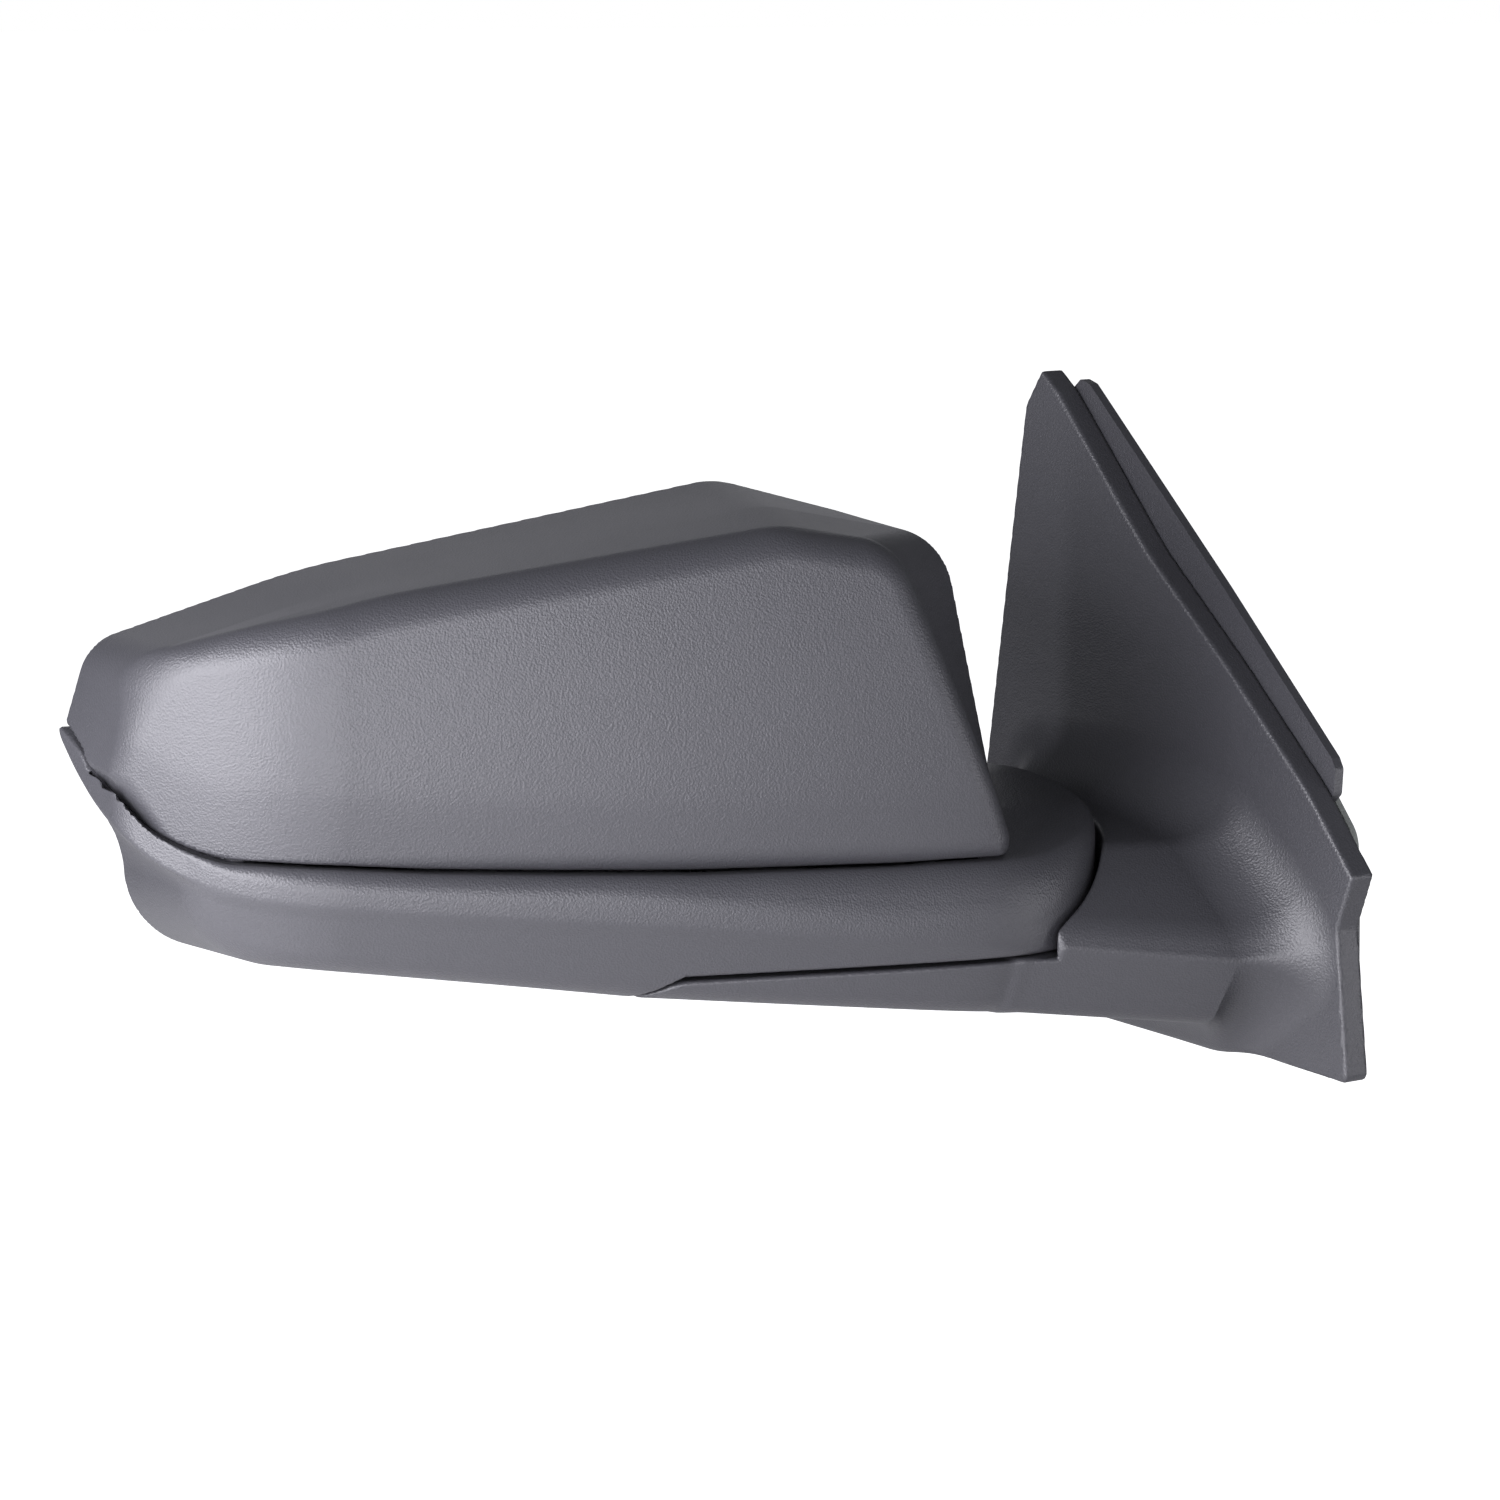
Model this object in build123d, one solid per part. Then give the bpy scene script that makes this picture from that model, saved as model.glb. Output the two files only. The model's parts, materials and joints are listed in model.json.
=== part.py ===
from build123d import *
import math
import os

# Right-hand door mirror with a manually folding head and a power-adjusted glass.
# Frame, in millimetres: the origin is the centre of the stud circle on the door-side mounting face.
# +X points into the door, +Y to the rear of the car and +Z up, so the mirror reaches out along -X.
# The head is drawn in its own directions from the fold axis: u outboard, f forward, z up.

# ---------------------------------------------------------------- driving dimensions
PIVOT_X = -90.0            # fold axis, upright, on the line y = 0
HEAD_SWEEP = 10.0          # degrees that the head leans to the rear of square
HEAD_REAR = -44.0          # f of the plane of the bezel
HEAD_FRONT = 51.0          # f of the front face, straight ahead of the fold axis
FACE_RAKE = 0.12           # the front face loses this much f per mm outboard
BELLY_F = HEAD_FRONT - 15  # f where the lower housing starts to turn under
TURN_F = HEAD_FRONT - 8    # f of the lower edge of its front facet
SKIN = 2.6                 # wall of the moulded covers
SEAM_GAP = 0.4             # half of the joint line between cap and lower housing
NECK_R = 51.5              # round inboard end of the head
WALL_R = 54.0              # round wall in the base cover that the neck turns in
STEP_R = 100.0             # the head's underside is flat inside this radius
FOOT_R = 98.0              # outboard reach of the base cover under the head
HEAD_FLOOR = -18.8         # underside of the head above the foot
FOOT_TOP = -20.0           # top of the foot under the head
FOOT_REAR = -36.0          # f of the foot's rear edge under the head
CAP_MIDDLE_F = 8.0         # f where the cap's inboard wall stops being full
SHOULDER_R = 13.0          # rounding of the front face into the walls

SAIL_X = -13.0             # outer skin of the sail
PLATE_X = -5.0             # where the sail rests on its carrier plate
GASKET_X = -2.0            # back of the foam gasket

COVER_SCREWS = [(24, 84), (-62, -38)]   # (y, z)
SAIL_CLIP = (36, 108)

STUD_PCD = 80.0
STUD_R = 3.0
STUD_SHANK_R = 3.5         # knurled length of a stud that grips the pad
STUD_COUNT = 3
STUD_REACH = 24.0          # how far a stud stands out of the mounting face
INLET_R = 6.5              # bore of the harness grommet
PAD_T = 6.0

POST_R = 11.0
POST_BORE = 8.0
POST_TOP = 41.0
POST_FOOT = -28.0
BOSS_TOP = -23.0           # top of the bracket's arm and boss
RUN_FIT = 0.05             # radial clearance of a running fit
BEARING = (-4.0, 10.0)     # z of the pivot bearing in the head frame
SPRING = (12.0, 32.0)      # z of the pivot spring
SPRING_R = 13.8
SPRING_WIRE_R = 1.3
WASHER_R = 15.4
BEARING_R = 16.4           # outside of the pivot bearing
BEARING_FLAT = 14.4        # its flat towards the glass

GLASS_R = 1400.0           # radius of the convex mirror glass
GLASS_F = -40.0            # f of the middle of its outer face
GLASS_U = 100.0            # middle of the glass
GLASS_Z = 38.0
GIMBAL_F = -27.0           # f of the centre that the glass tilts about
LEVER = 24.0               # arm of each plunger from that centre
MOTOR_F = -11.0            # f of the motor and worm axes
CASE_F = (-19.0, -5.0, 6.0)   # rear face, split line and front face of the adjuster case
CASE_R = 36.0

# ---------------------------------------------------------------- outlines, (u, z, corner radius)
CAP_REAR = [(226.5, 41, 3), (218, 67.5, 14), (160, 84, 200), (38, 103, 30), (-14, 88.5, 24), (-27, 3, 10),
            (100, 6.5, 150), (206, 10, 30)]
CAP_MIDDLE = [(223, 37, 3), (219, 69, 14), (160, 84.5, 200), (47, 101, 34), (-7, 90, 21), (-26.5, 3, 10),
              (100, 6.5, 150), (207, 10, 30)]
CAP_FRONT = [(221, 32, 12), (219, 71.5, 16), (160, 85, 200), (56, 98.8, 40), (24, 93.5, 18), (-15, 3, 8),
             (100, 7.5, 150), (208, 10, 25)]
CAP_MOUTH = [(-4, -9), (100, -5), (202, 5), (202, 30), (-4, 30)]
SEAM = [(-30, 4), (25, 4.8), (80, 8), (118, 11), (160, 15), (201, 19.4), (209, 21.5), (214, 24.4),
        (217.5, 31.4), (220, 38.6), (226, 45.5), (240, 62)]

LOWER_REAR = [(226.5, 44, 1), (209.5, 12, 6), (208.5, 1, 12), (188, -16, 22), (92, -25, 100),
              (-52, -41, 4), (-52, 24, 2), (200, 48, 10), (226, 52, 1)]
LOWER_BELLY = [(223.5, 23, 1), (209.5, 10, 6), (207.5, 1, 8), (194, -8.5, 14), (92, -24.5, 100),
               (-52, -41, 4), (-52, 24, 2), (200, 44, 5), (224, 38, 1)]
LOWER_TURN = [(221.5, 22, 1), (208.5, 11, 5), (205.5, 3, 6), (193, -5.5, 12), (92, -21.5, 100),
              (-52, -38, 4), (-52, 18, 2), (200, 36, 5), (221.5, 34, 1)]
LOWER_CREASE = [(213, 21, 0.6), (207, 14.5, 1.5), (200, 11.5, 2), (188, 9.4, 10), (92, -3.5, 100),
                (-52, -22, 4), (-52, -9, 2), (198, 16.5, 2), (212, 25, 0.6)]
NECK_PROFILE = [(-52, 18.5), (-20, 17.5), (15, 12.5), (33, 8.5), (43, 1.3), (49.5, -7.7), (53, -16),
                (53, -45), (-52, -45)]

BEZEL_OUTLINE = [(222, 46, 4), (215, 65.5, 10), (160, 81, 200), (38, 100, 28), (-11.5, 86, 21),
                 (-23.5, 10, 40), (-23.5, -15.6, 3), (91, -15.6, 2), (93, -22, 2), (186, -13, 18),
                 (205, 3, 9), (206, 13, 6)]
OPENING = [(212, 45, 12), (207, 61.5, 12), (160, 75.5, 200), (38, 94, 30), (-2, 80.5, 18), (-10, -5, 14),
           (92, -9.5, 200), (184, -3, 20), (198, 10, 14)]

# ---------------------------------------------------------------- outlines, (y, z, corner radius)
SAIL = [(38.8, 128.8, 0.5), (31.4, 123.3, 0.5), (-9.2, 81.2, 90), (-43.6, 53.2, 90), (-78.3, 22.5, 90),
        (-97, 1.5, 1), (-91.3, -13.6, 5), (-96.5, -55.3, 2), (-25, -52.5, 40), (67, -50, 8), (65, 0, 60),
        (52.5, 78.6, 120), (46, 118.3, 8)]
CARRIER = [(30.6, 126.4, 1), (26.5, 125.2, 2), (-33, 73, 60), (-79, 30.9, 2), (-80.6, 28, 2),
           (-80.1, 20.9, 2), (-74, 15, 2), (-88, 1, 2), (-89, -50, 4), (62, -46, 6), (57, 25, 60),
           (43, 116, 8)]
GASKET = [(28, 121, 3), (-34, 68, 60), (-85, 10, 10), (-87, -48, 4), (60, -44, 6), (55, 25, 60),
          (41.5, 113, 6)]
PAD = [(-50, -34, 10), (50, -34, 10), (14, 56, 12), (-14, 56, 12)]

FOOT_AXIS_SECTION = (-90.0, [(33, 17.5, 6), (-8, 12.5, 40), (-30, 7.5, 10), (-53, -15.5, 2),
                             (-47, -35, 10), (33, -38, 8)])
FOOT_NECK_SECTION = (-30.0, [(37, 12.5, 8), (-2, 12.5, 40), (-42, 5, 12), (-71, -24, 2.5),
                             (-60, -43.5, 10), (40, -44, 8)])
FOOT_SAIL_SECTION = (SAIL_X + SKIN, [(40, 14.5, 6), (-4, 15.5, 40), (-48, 4.5, 14), (-78.5, -24, 3),
                             (-40, -49.5, 10), (46, -49, 8)])

# ---------------------------------------------------------------- frame helpers
SWEEP = math.radians(HEAD_SWEEP)
OUT = Vector(-math.cos(SWEEP), math.sin(SWEEP), 0)
AHEAD = Vector(-math.sin(SWEEP), -math.cos(SWEEP), 0)
UP = Vector(0, 0, 1)
FOLD_AXIS = Vector(PIVOT_X, 0, 0)
FAR = 400.0


def head_point(u, f, z):
    """Point of the head's directions in the part's frame."""
    return FOLD_AXIS + OUT * u + AHEAD * f + UP * z


def head_plane(f, rake=0.0):
    """Upright plane facing the rear, f ahead of the fold axis, turned back outboard by rake."""
    return Plane(origin=head_point(0, f, 0), x_dir=OUT - AHEAD * rake, z_dir=-(AHEAD + OUT * rake))


def side_plane(u):
    """Plane across the head at u, with local x forward and local y up."""
    return Plane(origin=head_point(u, 0, 0), x_dir=AHEAD, z_dir=OUT)


def sail_plane(x):
    """Plane parallel to the door at x, with local x to the rear and local y up."""
    return Plane(origin=(x, 0, 0), x_dir=(0, 1, 0), z_dir=(1, 0, 0))


def inset(corners, distance):
    """Corners of the outline moved inwards by distance; convex radii shrink and hollow ones grow."""
    area = sum(a[0] * b[1] - b[0] * a[1] for a, b in zip(corners, corners[1:] + corners[:1]))
    side = math.copysign(1.0, area)
    moved = []
    for before, here, after in zip(corners[-1:] + corners[:-1], corners, corners[1:] + corners[:1]):
        run_in = Vector(here[0] - before[0], here[1] - before[1]).normalized()
        run_out = Vector(after[0] - here[0], after[1] - here[1]).normalized()
        turn = side * (run_in.X * run_out.Y - run_in.Y * run_out.X)
        push = (run_out - run_in) * (distance / abs(turn)) if turn else Vector(0, 0)
        push = push if turn > 0 else -push
        radius = max(here[2] - distance, 1.0) if turn > 0 else here[2] + distance
        moved.append((here[0] + push.X, here[1] + push.Y, radius))
    return moved


def outline_face(plane, corners):
    """Face inside the rounded outline, on plane."""
    line = FilletPolyline(*[(a, b) for a, b, _ in corners], radius=[r for _, _, r in corners], close=True)
    return plane * make_face(line)


def slab(corners, f0, f1):
    """The (u, z) outline drawn out between f0 and f1."""
    return extrude(outline_face(head_plane(f1), corners), amount=f1 - f0)


def sharp(points):
    """Outline corners with no rounding."""
    return [(a, b, 0) for a, b in points]


def drum(radius, z0, z1, bore=0.0):
    """Upright cylinder on the fold axis, from z0 to z1."""
    body = Pos(PIVOT_X, 0, (z0 + z1) / 2) * Cylinder(radius, z1 - z0)
    if bore:
        body -= Pos(PIVOT_X, 0, (z0 + z1) / 2) * Cylinder(bore, z1 - z0 + 2)
    return body


def rod(u, z, radius, f0, f1):
    """Cylinder along the head's forward direction."""
    plane = Plane(origin=head_point(u, f1, z), x_dir=OUT, z_dir=-AHEAD)
    return extrude(plane * Circle(radius), amount=f1 - f0)


def block(u0, u1, f0, f1, z0, z1):
    """Box square to the head."""
    return slab(sharp([(u0, z0), (u1, z0), (u1, z1), (u0, z1)]), f0, f1)


# ---------------------------------------------------------------- head shells
def cap_body(skin):
    """Solid of the cap, shrunk by skin: straight walls, then a rounded shoulder into the raked face."""
    rear_f = HEAD_REAR - (2.0 if skin else 0.0)
    sections = [outline_face(head_plane(rear_f), inset(CAP_REAR, skin)),
                outline_face(head_plane(CAP_MIDDLE_F), inset(CAP_MIDDLE, skin))]
    for angle in (0, 25, 50, 70, 90):
        turn = math.radians(angle)
        ahead = HEAD_FRONT - skin - SHOULDER_R * (1 - math.sin(turn))
        pull = SHOULDER_R * (1 - math.cos(turn))
        sections.append(outline_face(head_plane(ahead, FACE_RAKE), inset(CAP_FRONT, skin + pull)))
    return loft(sections, ruled=True)


def above_seam(lift):
    """Everything in the head above the joint line between cap and lower housing, raised by lift."""
    points = [(u, z + lift) for u, z in SEAM] + [(FAR, FAR / 2), (-30, FAR / 2)]
    return slab(sharp(points), -70, 70)


def below_seam(lift, u_start):
    """Everything outboard of u_start below the joint line, raised by lift."""
    points = [(u, z + lift) for u, z in SEAM if u > u_start]
    points = [(u_start, SEAM[0][1] + lift)] + points + [(FAR, -80), (u_start, -80)]
    return slab(sharp(points), -70, 70)


def neck_profile(skin):
    """Side profile of the round inboard end, drawn out across it."""
    points = [(f, z - skin) for f, z in NECK_PROFILE[:6]]
    points += [(f - skin, z) for f, z in NECK_PROFILE[6:8]] + [NECK_PROFILE[8]]
    return extrude(outline_face(side_plane(-NECK_R - 2), sharp(points)), amount=NECK_R + 12)


def lower_body(skin):
    """Solid of the lower housing and the foot in line with it; shrinking leaves the crease solid."""
    if skin:
        stations = [(HEAD_REAR - 2, 0, LOWER_REAR), (BELLY_F - skin, FACE_RAKE, LOWER_BELLY),
                    (TURN_F - 1, FACE_RAKE, LOWER_TURN)]
    else:
        stations = [(HEAD_REAR, 0, LOWER_REAR), (BELLY_F, FACE_RAKE, LOWER_BELLY),
                    (TURN_F, FACE_RAKE, LOWER_TURN), (HEAD_FRONT, FACE_RAKE, LOWER_CREASE)]
    sections = [outline_face(head_plane(f, rake), inset(outline, skin)) for f, rake, outline in stations]
    return loft(sections, ruled=True)


def lower_envelope(skin):
    """Lower housing as a solid, shrunk by skin, and open above the joint line when shrunk."""
    inboard = drum(NECK_R - skin, -80, 80) + block(0, FAR, -60, 60, -80, 80)
    top = below_seam(20.0 if skin else -SEAM_GAP, -6.0) + neck_profile(skin)
    foot = drum(STEP_R + skin, -90, HEAD_FLOOR + skin)
    return (lower_body(skin) & inboard & top) - foot


def mirror_cap():
    """Painted or grained outer cover above the joint line."""
    mouth = head_plane(HEAD_FRONT - SHOULDER_R - 5, FACE_RAKE)
    throat = extrude(outline_face(mouth, sharp(CAP_MOUTH)), amount=150)
    shell = cap_body(0) - cap_body(SKIN) - throat
    trimmed = (shell & above_seam(SEAM_GAP)) - neck_profile(-SEAM_GAP)
    return trimmed.solids().sort_by(SortBy.VOLUME)[-1]


def cavity(clearance):
    """Room inside cap and lower housing together, less clearance."""
    return cap_body(SKIN + clearance) + lower_envelope(SKIN + clearance)


def lower_housing():
    """Lower cover with the crease, the outboard blade, the round neck and the hole for the pivot."""
    shell = lower_envelope(0) - lower_envelope(SKIN)
    return shell - drum(24.0, -30, 0) - cap_body(SKIN - 0.1)


def bezel():
    """Frame around the glass, flush with the rear of the head."""
    ring = slab(BEZEL_OUTLINE, HEAD_REAR, HEAD_REAR + 9) - slab(OPENING, HEAD_REAR - 1, HEAD_REAR + 10)
    return ring & cavity(0.1)


# ---------------------------------------------------------------- base
def foot_loft(skin):
    """Neck of the base cover, from the fold axis to its flare into the sail."""
    sections = []
    for x, corners in (FOOT_AXIS_SECTION, FOOT_NECK_SECTION, FOOT_SAIL_SECTION):
        sections.append(outline_face(sail_plane(x), inset(corners, skin)))
    return loft(sections, ruled=True)


def foot_envelope(skin):
    """Foot as a solid: the neck outside the round wall, and the plate under the head."""
    turning = drum(WALL_R + skin, FOOT_TOP - skin, 80)
    corner_x = PIVOT_X + WALL_R * math.cos(math.radians(78))
    turning += Pos(corner_x + skin - 30, 0, FOOT_TOP - skin + 50) * Box(60, 160, 100)
    plate = lower_body(skin) & drum(FOOT_R - skin, -90, FOOT_TOP - skin)
    plate &= block(-FOOT_R, FOOT_R, FOOT_REAR + skin, 60, -90, 0)
    return (foot_loft(skin) - turning) + plate


def base_cover():
    """Foot and triangular sail in one moulding, open towards the door."""
    sail = extrude(outline_face(sail_plane(SAIL_X), SAIL), amount=PLATE_X - SAIL_X)
    pocket = extrude(outline_face(sail_plane(SAIL_X + SKIN), inset(SAIL, SKIN)), amount=PLATE_X - SAIL_X)
    hollow = foot_envelope(SKIN) - Pos(PLATE_X + 10, 0, 0) * Box(20, 300, 300)
    return foot_envelope(0) + sail - pocket - hollow - drum(23.0, -30, 0)


def sail_plate():
    """Carrier plate with the flange along the sloping edge and a window for the bracket pad."""
    plate = extrude(outline_face(sail_plane(PLATE_X), CARRIER), amount=GASKET_X - PLATE_X)
    window = extrude(outline_face(sail_plane(PLATE_X - 1), inset(PAD, -0.6)), amount=10)
    for y, z in COVER_SCREWS:
        plate -= cross_rod(y, z, 1.9, PLATE_X, GASKET_X)
    return plate - window


def base_gasket():
    """Foam ring between the carrier plate and the door."""
    outer = extrude(outline_face(sail_plane(GASKET_X), GASKET), amount=-GASKET_X)
    inner = extrude(outline_face(sail_plane(GASKET_X - 1), inset(GASKET, 7.0)), amount=10)
    ring = outer - inner
    for y, z in COVER_SCREWS:
        ring -= cross_rod(y, z, 4.0, GASKET_X, 0)
    return ring - cross_rod(*SAIL_CLIP, 5.0, GASKET_X, 0)


def stud_places():
    """(y, z) of each mounting stud."""
    turns = [math.radians(90 + 360 * i / STUD_COUNT) for i in range(STUD_COUNT)]
    return [(STUD_PCD / 2 * math.cos(t), STUD_PCD / 2 * math.sin(t)) for t in turns]


def cross_rod(y, z, radius, x0, x1):
    """Cylinder along X."""
    plane = Plane(origin=(x0, y, z), x_dir=(0, 1, 0), z_dir=(1, 0, 0))
    return extrude(plane * Circle(radius), amount=x1 - x0)


def base_bracket():
    """Die-cast bracket: mounting pad, two ribs and the arm with the boss that holds the pivot post."""
    body = extrude(outline_face(sail_plane(-PAD_T), PAD), amount=PAD_T)
    arm = Box(-PAD_T - PIVOT_X, 36, BOSS_TOP - POST_FOOT)
    body += Pos((PIVOT_X - PAD_T) / 2, 0, (POST_FOOT + BOSS_TOP) / 2) * arm
    body += drum(20.0, POST_FOOT, BOSS_TOP)
    rib = [(-PAD_T - 24, POST_FOOT), (-PAD_T, POST_FOOT), (-PAD_T, 9), (-PAD_T - 14, 6), (-PAD_T - 24, -22)]
    for y in (-18, 13):
        body += extrude(Plane(origin=(0, y + 5, 0), x_dir=(1, 0, 0), z_dir=(0, -1, 0)) * make_face(
            Polyline(*rib, close=True)), amount=5)
    for y, z in stud_places():
        body -= cross_rod(y, z, STUD_SHANK_R, -PAD_T - 1, 1)
    return body - cross_rod(0, 0, 11.5, -PAD_T - 1, 1) - drum(POST_R, -40, 0)


def mounting_studs():
    """Three studs pressed through the pad, heads inside."""
    studs = []
    for y, z in stud_places():
        head = cross_rod(y, z, 5.5, -PAD_T - 2.5, -PAD_T) + cross_rod(y, z, STUD_SHANK_R, -PAD_T, 0)
        studs.append(head + cross_rod(y, z, STUD_R, 0, STUD_REACH))
    return studs


def harness_grommet():
    """Rubber grommet in the pad, grooved to grip it, with a nose that goes through the door skin."""
    body = cross_rod(0, 0, 11.5, -PAD_T, 0) + cross_rod(0, 0, 12.6, -PAD_T - 2.5, -PAD_T)
    body += cross_rod(0, 0, 10.5, 0, 8)
    return body - cross_rod(0, 0, INLET_R, -20, 20)


def cover_screws():
    """Two screws from the door side that hold the cover and the carrier plate together."""
    screws = []
    for y, z in COVER_SCREWS:
        head = cross_rod(y, z, 4.0, GASKET_X, GASKET_X + 1.6)
        screws.append(head + cross_rod(y, z, 1.9, SAIL_X + SKIN, GASKET_X))
    return screws


def sail_clip():
    """Push-in clip near the tip of the sail."""
    y, z = SAIL_CLIP
    stem = cross_rod(y, z, 3.0, GASKET_X, 9)
    barb = Plane(origin=(4, y, z), x_dir=(0, 1, 0), z_dir=(1, 0, 0)) * Circle(4.5)
    tip = Plane(origin=(10, y, z), x_dir=(0, 1, 0), z_dir=(1, 0, 0)) * Circle(1.8)
    return stem + loft([barb, tip]) + cross_rod(y, z, 5.0, GASKET_X, GASKET_X + 1.2)


# ---------------------------------------------------------------- fold pivot
def pivot_post():
    """Hollow steel post pressed into the bracket; the harness runs up its bore."""
    return drum(POST_R, POST_FOOT, POST_TOP, POST_BORE)


def detent_ring_lower():
    """Fixed detent ring with four notches across its top."""
    ring = drum(21.0, BOSS_TOP, -16, POST_R)
    for turn in (0, 45, 90, 135):
        ring -= Pos(PIVOT_X, 0, -16) * Rot(0, 0, turn) * Box(60, 5, 2.4)
    return ring


def detent_ring_upper():
    """Detent ring that turns with the head."""
    return drum(21.0, -15.6, BEARING[0], POST_R + 0.6)


def washer(z0, z1):
    """Steel washer that turns with the head around the post."""
    return drum(WASHER_R, z0, z1, POST_R + 0.4)


def pivot_spring():
    """Coil spring that presses the detent rings together."""
    coil_z = (SPRING[0] + SPRING_WIRE_R, SPRING[1] - SPRING_WIRE_R)
    path = Helix(pitch=(coil_z[1] - coil_z[0]) / 5, height=coil_z[1] - coil_z[0], radius=SPRING_R)
    section = Plane(origin=path @ 0, z_dir=path % 0) * Circle(SPRING_WIRE_R)
    return Pos(PIVOT_X, 0, coil_z[0]) * sweep(section, path=path)


def retaining_nut():
    """Slotted nut at the top of the post that holds the spring down."""
    blank = extrude(Plane(origin=(PIVOT_X, 0, SPRING[1] + 2.4)) * RegularPolygon(15.5, 6), amount=5)
    return blank - drum(POST_R, 0, 80)


# ---------------------------------------------------------------- inside the head
def head_frame():
    """Glass-filled nylon frame: pivot bearing, web and the plate that carries the adjuster."""
    f0, f1 = CASE_F[2], CASE_F[2] + 3
    plate = [(26, -15.5, 2), (96, -15.5, 2), (150, 4, 20), (150, 66, 20), (60, 80, 30), (26, 62, 10)]
    frame = slab(plate, f0, f1)
    frame += block(0, 27, f0 - 3, f1 + 3, *BEARING)
    for z in (-14, 56):
        frame += block(28, 92, f1, f1 + 12, z, z + 2.5)
    frame += drum(BEARING_R, *BEARING)
    frame -= block(-BEARING_R, BEARING_R, -BEARING_R, -BEARING_FLAT, -20, 20)
    frame -= drum(POST_R + RUN_FIT, -30, 60)
    for u, z in screw_places():
        frame -= rod(u, z, 1.6, f0 - 1, f1 + 1)
    return (frame - rod(GLASS_U, GLASS_Z, 16, f0 - 1, f1 + 1)) & cavity(0.2)


def screw_places():
    """(u, z) of the three adjuster screws."""
    turns = [math.radians(t) for t in (20, 140, 260)]
    reach = CASE_R + 4
    return [(GLASS_U + reach * math.cos(t), GLASS_Z + reach * math.sin(t)) for t in turns]


def plunger_places():
    """(u, z) of the two jack screws: below the centre for tilt, inboard of it for pan."""
    return {"tilt": (GLASS_U, GLASS_Z - LEVER), "pan": (GLASS_U - LEVER, GLASS_Z)}


def adjuster_case_rear():
    """Rear half of the adjuster: dished case with the gimbal boss and guides for the plungers."""
    f0, f1, _ = CASE_F
    case = rod(GLASS_U, GLASS_Z, CASE_R, f0, f1) - rod(GLASS_U, GLASS_Z, CASE_R - 2, f0 + 2, f1 + 1)
    case += rod(GLASS_U, GLASS_Z, 7.5, GIMBAL_F - 4, f0 + 1)
    for u, z in plunger_places().values():
        case -= rod(u, z, 2.0 + RUN_FIT, f0 - 1, f0 + 3)
    pin_hole = Plane(origin=head_point(GLASS_U - 8, GIMBAL_F, GLASS_Z), x_dir=AHEAD, z_dir=OUT)
    return case - extrude(pin_hole * Circle(1.5 + RUN_FIT), amount=16)


def adjuster_case_front():
    """Front half of the adjuster, with three ears for its screws."""
    _, f0, f1 = CASE_F
    case = rod(GLASS_U, GLASS_Z, CASE_R, f0, f1)
    for u, z in screw_places():
        case += rod(u, z, 5.0, f1 - 3, f1)
    case -= rod(GLASS_U, GLASS_Z, CASE_R - 2, f0 - 1, f1 - 2)
    for u, z in screw_places():
        case -= rod(u, z, 1.6, f1 - 4, f1 + 1)
    return case


def adjuster_screws():
    """Three screws that hold the adjuster on the frame."""
    f1 = CASE_F[2]
    return [rod(u, z, 3.2, f1 - 5, f1 - 3) + rod(u, z, 1.6, f1 - 3, f1 + 6) for u, z in screw_places()]


def bezel_screws():
    """Four screws behind the bezel."""
    places = ((30, 94.8), (150, 78.5), (60, -12), (150, -11))
    f0 = HEAD_REAR + 9
    return [rod(u, z, 1.0, f0, f0 + 7) + rod(u, z, 2.0, f0 + 7, f0 + 8.4) for u, z in places]


def motor(u, z, direction):
    """Small round motor whose shaft end is at (u, z); direction is the way from the shaft to the can."""
    plane = Plane(origin=head_point(u, MOTOR_F, z), x_dir=AHEAD, z_dir=direction)
    return extrude(plane * Circle(5.5), amount=19)


def worm(u, z, direction):
    """Worm on the motor's shaft, with its thread drawn as rings."""
    start = head_point(u, MOTOR_F, z)
    body = extrude(Plane(origin=start, x_dir=AHEAD, z_dir=-direction) * Circle(1.6), amount=14)
    for i in range(6):
        ring = Plane(origin=start - direction * (2.0 + 1.6 * i), x_dir=AHEAD, z_dir=-direction)
        body += extrude(ring * Circle(2.5), amount=0.8)
    return body


def drive_nut(u, z):
    """Toothed nut that screws the plunger in and out."""
    nut = rod(u, z, 6.0, MOTOR_F - 3, MOTOR_F + 3)
    for i in range(20):
        turn = math.radians(18 * i)
        nut += rod(u + 6.0 * math.cos(turn), z + 6.0 * math.sin(turn), 0.45, MOTOR_F - 3, MOTOR_F + 3)
    return nut - rod(u, z, 2.0 + RUN_FIT, MOTOR_F - 4, MOTOR_F + 4)


def plunger(u, z):
    """Jack screw with a ball end that moves the glass."""
    ball = Pos(head_point(u, GIMBAL_F, z)) * Sphere(3.0)
    return rod(u, z, 2.0, GIMBAL_F, MOTOR_F + 8) + ball


# ---------------------------------------------------------------- glass
def glass_layer(corners, back, front):
    """Layer of the convex glass stack between two depths below the outer face."""
    centre = Pos(head_point(GLASS_U, GLASS_F + GLASS_R, GLASS_Z))
    layer = slab(corners, GLASS_F - 4, GLASS_F + 16)
    return (layer & centre * Sphere(GLASS_R - front)) - centre * Sphere(GLASS_R - back)


def mirror_glass():
    """Convex mirror glass."""
    return glass_layer(inset(OPENING, 5.2), 2.0, 0.0)


def heater_pad():
    """Film heater bonded to the glass."""
    return glass_layer(inset(OPENING, 8.0), 2.6, 2.0)


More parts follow.
